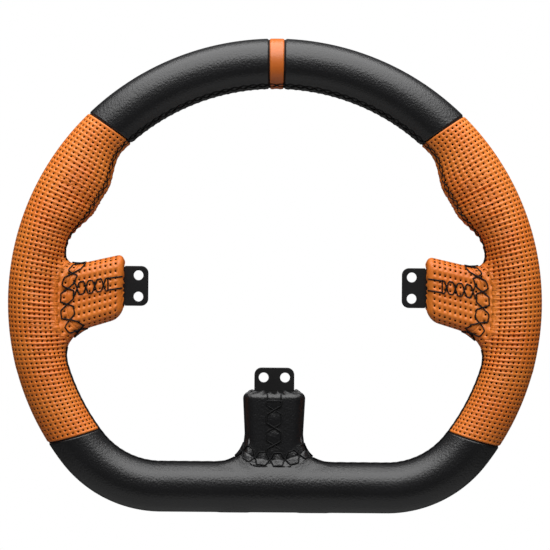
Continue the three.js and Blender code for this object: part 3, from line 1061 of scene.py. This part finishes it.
plate = {
    "width": 22.4,
    "thickness": 4.0,
    "corner": 4.0,
    "cornerSteps": 12,
    "boltHole": 5.5,
    "boltSides": 48,
    "boltSpacing": 12.0,
    "boltToEnd": 5.5,
    "bevel": 0.35,
    "step": 0.05,  # the part inside the sleeve is this much smaller, so that no faces coincide
    "inside": 16.0,  # how far it is drawn inside the sleeve
    "before": 3.0,  # how far before the sleeve that part starts
    "short": 1.0,  # how far before the sleeve the tab stops
}


def closedLoop(curve, points):
    spline = curve.splines.new("POLY")
    spline.points.add(len(points) - 1)
    for point, (x, y) in zip(spline.points, points):
        point.co = (x * mm, y * mm, 0, 1)
    spline.use_cyclic_u = True


def arc(centre, radius, start, stop, steps):
    angles = np.radians(np.linspace(start, stop, steps + 1))
    return [(centre[0] + radius * math.cos(a), centre[1] + radius * math.sin(a)) for a in angles]


# A flat bar with a bevelled edge and round free corners, and on the tab with its bolt holes.
def slab(spoke, free, to, frontY, thick, isTab):
    half, corner, bevel = plate["width"] / 2, plate["corner"], plate["bevel"]
    if not isTab:
        half, thick, frontY = half - plate["step"], thick - 2 * plate["step"], frontY + plate["step"]
    curve = bpy.data.curves.new("outline", "CURVE")
    curve.dimensions = "2D"
    curve.fill_mode = "BOTH"
    near, steps, sides = free + corner, plate["cornerSteps"], plate["boltSides"]
    outline = [(to, half)] + arc((near, half - corner), corner, 90, 180, steps)
    outline += arc((near, corner - half), corner, 180, 270, steps) + [(to, -half)]
    closedLoop(curve, outline)
    for side in (-1, 1) if isTab else ():
        centre = (free + plate["boltToEnd"], side * plate["boltSpacing"] / 2)
        closedLoop(curve, arc(centre, plate["boltHole"] / 2, 0, 360, sides)[:-1])
    curve.extrude = (thick / 2 - bevel) * mm
    curve.bevel_depth = bevel * mm
    curve.bevel_resolution = 3
    curve.offset = -bevel * mm
    holder = addObject("outline", curve)
    bpy.context.view_layer.update()
    mesh = bpy.data.meshes.new_from_object(holder.evaluated_get(bpy.context.evaluated_depsgraph_get()))
    bpy.data.objects.remove(holder)
    place = Matrix.Identity(4)
    for column, direction in enumerate((spoke["out"], spoke["side"], backwards)):
        for row in range(3):
            place[row][column] = direction[row]
    place[1][3] = (frontY + thick / 2) * mm
    mesh.transform(place)
    return mesh


def tabPlate(name, spoke, node):
    low, high = boxOf(node)
    corners = np.array([low, high])
    free = (corners @ spoke["out"]).min()
    frontY, backY = low[1], high[1]
    end = spoke["end"]
    tab = slab(spoke, free, end - plate["short"], frontY, backY - frontY, True)
    strip = slab(spoke, end - plate["before"], end + plate["inside"], frontY, plate["thickness"], False)
    work = bmesh.new()
    for mesh in (tab, strip):
        work.from_mesh(mesh)
    bmesh.ops.remove_doubles(work, verts=work.verts, dist=weldDistance)
    bmesh.ops.recalc_face_normals(work, faces=work.faces)
    mesh = bpy.data.meshes.new(name)
    work.to_mesh(mesh)
    work.free()
    mesh.materials.append(materials["textured_powder_coat"])
    return addObject(name, mesh)


thread = {
    "lacingRadius": 0.45,
    "seamRadius": 0.32,
    "lowSeamRadius": 0.48,
    "jointRadius": 0.45,
    "sides": 6,
    "lift": 0.1,
    "lacingHalf": 3.6,
    "crossShare": 0.5,  # of a pitch, the part over which the two strands cross
    "overLift": 0.3,  # of the strand that lies on top
    "loose": 0.06,
    "barHalf": 1.1,  # of the lacing's half width, like the tails' places
    "tailHalf": 0.92,
    "eyePitch": 5.2,
    "eyeHalf": 1.5,
    "lowEyeHalf": 0.2,
    "sway": 0.12,
    "seamReach": 206.0,  # from the top, where the upper seam ends
    "lowerStart": 268.0,
    "lowerShort": 22.0,  # how far the lower seams stop short of the bottom's middle
    "jointInset": 0.95,
    "step": 0.6,
}


def threadObject(name, lines, radius, closed=False):
    mesh = bpy.data.meshes.new(name)
    points, edges = [], []
    for line in lines:
        first = len(points)
        points.extend((np.asarray(line) * mm).tolist())
        edges.extend((first + i, first + i + 1) for i in range(len(line) - 1))
        if closed:
            edges.append((first + len(line) - 1, first))
    mesh.from_pydata(points, edges, [])
    return applyTree(addObject(name, mesh), threading, {
        "Thread radius": radius * mm, "Sides": thread["sides"],
        "Thread material": materials["waxed_polyester_thread"]})


# A lacing strand's place across its band: along one edge, over to the other, and along that.
def lacingWave(along, pitch):
    phase = np.mod(along / pitch, 2)
    cross = thread["crossShare"]
    up = np.clip((phase - (1 - cross)) / cross, 0, 1)
    down = np.clip((phase - (2 - cross)) / cross, 0, 1)
    return 1 - 2 * up + 2 * down


# The two strands of a lacing: their places across its band, loosely kept, and their lifts.
def twoStrands(along, pitch, rate, seed, start=0.0):
    for sign, lift in ((1, 0.0), (-1, thread["overLift"])):
        loose = thread["loose"] * waver(along * rate, seed + lift)
        yield sign * lacingWave(along + start, pitch) + loose, lift


def rootLacing(name, spoke):
    turns, run, pitch = spoke["rootSeam"]
    along = np.arange(0, run[-1], thread["step"])
    at = np.interp(along, run, turns)
    strands = []
    for lateral, lift in twoStrands(along, pitch, 0.7, 1):
        p = onSpoke(spoke, rootAt(spoke, at) + thread["lacingHalf"] * lateral, at)
        strands.append(p + skinNormal(spoke, p) * (thread["lift"] + lift))
    return threadObject(name, strands, thread["lacingRadius"], closed=True)


def frontLacing(name, spoke):
    start, bar, pitch = spoke["frontSeam"]
    half = spoke["frontHalf"]
    along = np.arange(0, start - bar + 0.01, thread["step"])
    out = start - along

    def lay(outs, sides, lift):
        p = onSpokeFront(spoke, outs, sides)
        return p + skinNormal(spoke, p) * (thread["lift"] + lift)

    strands = []
    for lateral, lift in twoStrands(along, pitch, 0.8, 2, pitch * thread["crossShare"] / 2):
        strands.append(lay(out, frontMiddle(spoke, out) + half * lateral, lift))
    across = np.linspace(-thread["barHalf"], thread["barHalf"], 13) * half
    strands.append(lay(np.full(13, bar), frontMiddle(spoke, bar) + across, 0.1))
    for side in (-1, 1):
        tail = np.arange(bar, spoke["end"] + 0.4, -thread["step"])
        strands.append(lay(tail, frontMiddle(spoke, tail) + side * thread["tailHalf"] * half, 0.0))
    return threadObject(name, strands, thread["lacingRadius"])


# The inner seam: two strands that cross between its eyes.
def innerSeam(name, start, stop, eyes, radius):
    fromTop = np.arange(start, stop, thread["step"])
    inner = (rim["radius"] - rim["width"]) / rim["radius"]
    along = fromTop * inner
    strands = []
    for sign in (-1, 1):
        sway = sign * eyes * np.sin(math.pi * along / thread["eyePitch"])
        sway = sway + thread["sway"] * waver(along * 0.6, sign)
        turn = seamAngle(fromTop) + sway / (rim["depth"] / 2)
        p = leave(*rimRays(fromTop, turn), wheelField)
        lift = thread["sway"] * (1 + sign * np.cos(math.pi * along / thread["eyePitch"]))
        strands.append(p + fieldNormal(wheelField, p) * lift[:, None])
    return threadObject(name, strands, radius)


def jointThread(name, joint, sign):
    turn = np.linspace(0, 2 * math.pi, 96, endpoint=False)
    p = onRim(None, sign * jointAt(joint, turn), turn, thread["jointInset"])
    return threadObject(name, [p], thread["jointRadius"], closed=True)


foam = {
    "under": 1.9,
    "steps": 150,
    "columns": 40,
    "fromEnd": (0.05, 1, 3, 6),  # its rows in a spoke, of which the next lies past the rim's inner edge
    "pastInner": 2,
    "short": 3,
}


def foamCore():
    shell = newShell()
    fromTop = np.linspace(-halfLength, halfLength, foam["steps"] + 1)[:, None]
    turn = (np.arange(foam["columns"]) / foam["columns"] * 2 * math.pi)[None, :]
    addRows(shell, onRim(None, fromTop, turn, foam["under"]))
    for spoke in spokes.values():
        start = spoke["end"] + foam["under"]
        outs = [start + far for far in foam["fromEnd"]]
        outs += [spoke["rimAt"] + foam["pastInner"], spoke["deepest"] - foam["short"]]
        rows = np.array(outs)[:, None]
        face = onSpoke(spoke, rows, turn, foam["under"], spokeField)
        hub = np.repeat(face[:1].mean(1, keepdims=True), face.shape[1], 1)
        far = np.repeat(face[-1:].mean(1, keepdims=True), face.shape[1], 1)
        addRows(shell, np.concatenate([hub, face, far]))
    return makeObject("moulded_foam_core", shell, materials["moulded_polyurethane_foam"])


# A joint's place round the section, on the right (1) or the left (-1), some way further on.
def jointLine(joint, sign, further=0.0):
    return lambda turn: further + sign * jointAt(joint, turn)


black, orange = "black_grain_leather", "orange_grain_leather"
rows, holes = leather["gripRows"], leather["gripHoles"]
panels = [  # name, joint at its start, joint at its end, spoke, rows, columns, leather
    ("centre_stripe", ("stripe", -1), ("stripe", 1), None, 3, 48, "smooth_orange_leather"),
    ("top_left", ("upper", -1), ("stripe", -1), None, 40, 48, black),
    ("top_right", ("stripe", 1), ("upper", 1), None, 40, 48, black),
    ("left_grip", ("lower", -1), ("upper", -1), "left", rows, holes, orange),
    ("right_grip", ("upper", 1), ("lower", 1), "right", rows, holes, orange),
    ("bottom", ("lower", 1), ("lower", -1, 2 * halfLength), "bottom", 100, 48, black),
]
for name, start, stop, spoke, rows, columns, skin in panels:
    made = rimLeather(f"{name}_cover", jointLine(*start), jointLine(*stop), spokes.get(spoke), rows,
        columns, skin == orange, materials[skin])
    standFor(made, f"{name}_leather")
    print(f"{name} leather laid")

for name, spoke in spokes.items():
    holed = name != "bottom"
    made = spokeSleeve(f"{name}_sleeve", spoke, holed, materials[orange if holed else black])
    standFor(made, f"{name}_spoke_sleeve")
    standFor(tabPlate(f"{name}_tab", spoke, f"{name}_tab_plate"), f"{name}_tab_plate")
    standFor(rootLacing(f"{name}_root_stitches", spoke), f"{name}_root_lacing")
    standFor(frontLacing(f"{name}_front_stitches", spoke), f"{name}_front_lacing")
    print(f"{name} spoke made")

core = foamCore()
standFor(core, "foam_core")
print("foam moulded")

for side, sign in (("left", -1), ("right", 1)):
    for joint in joints:
        standFor(jointThread(f"{side}_{joint}_joint_stitches", joint, sign),
            f"{side}_{joint}_joint_thread")
reach, lowerStart = thread["seamReach"], thread["lowerStart"]
lowerStop = halfLength - thread["lowerShort"]
seams = [
    ("upper", -reach, reach, thread["eyeHalf"], thread["seamRadius"]),
    ("lower_left", -lowerStop, -lowerStart, thread["lowEyeHalf"], thread["lowSeamRadius"]),
    ("lower_right", lowerStart, lowerStop, thread["lowEyeHalf"], thread["lowSeamRadius"]),
]
for name, *settings in seams:
    standFor(innerSeam(f"{name}_seam_stitches", *settings), f"{name}_seam_thread")
print("seams sewn")

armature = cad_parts["armature_ring"]
armature.data.materials.clear()
armature.data.materials.append(materials["drawn_steel"])


studio = {
    "floorDrop": 0.8,
    "floorSize": 2.4,
    "ambient": 0.05,
    "overheadSize": (1.5, 1.8),
    "overheadPlace": (0.0, -0.5, 0.85),
    "overheadAim": (0.0, -0.4, 0.0),
    "overheadPower": 28.0,
    "cameraDistance": 2.2,
    "viewWidth": 0.3092,
    "viewCentre": (-0.0001, 0.00674),
    "roll": 0.47,
}


def makeFloor():
    half = studio["floorSize"] / 2
    z = cadBox[0].z - studio["floorDrop"]
    mesh = bpy.data.meshes.new("studio_floor")
    mesh.from_pydata([(-half, -half, z), (half, -half, z), (half, half, z), (-half, half, z)],
        [], [(0, 1, 2, 3)])
    mesh.materials.append(materials["matt_studio_paper"])
    addObject("studio_floor", mesh)


def areaLight(name, place, aim, size, power):
    light = bpy.data.lights.new(name, "AREA")
    light.energy = power
    light.shape = "RECTANGLE"
    light.size, light.size_y = size
    holder = addObject(name, light)
    holder.location = place
    holder.rotation_euler = (Vector(aim) - Vector(place)).to_track_quat("-Z", "Y").to_euler()


# The room: white where it is seen, and dimmer as a light.
def makeRoom():
    world = bpy.data.worlds.new("studio")
    world.use_nodes = True
    tree = world.node_tree
    tree.nodes.clear()
    seen = addNode(tree, "ShaderNodeLightPath").outputs["Is Camera Ray"]
    strength = addNode(tree, "ShaderNodeMapRange", {
        "Value": seen, "To Min": studio["ambient"], "To Max": 1.0})
    glow = addNode(tree, "ShaderNodeBackground", {
        "Color": (1, 1, 1, 1), "Strength": strength})
    addNode(tree, "ShaderNodeOutputWorld", {"Surface": glow})
    bpy.context.scene.world = world


def makeCamera():
    camera = bpy.data.cameras.new("camera")
    camera.lens = camera.sensor_width * studio["cameraDistance"] / studio["viewWidth"]
    camera.clip_end = 50
    holder = addObject("camera", camera)
    x, z = studio["viewCentre"]
    holder.location = (x, -studio["cameraDistance"], z)
    holder.rotation_euler = (math.pi / 2, -math.radians(studio["roll"]), 0)
    bpy.context.scene.camera = holder


makeFloor()
makeRoom()
areaLight("overhead_softbox", studio["overheadPlace"], studio["overheadAim"], studio["overheadSize"],
    studio["overheadPower"])
makeCamera()
bpy.context.scene.view_settings.view_transform = "Standard"
print("studio set")
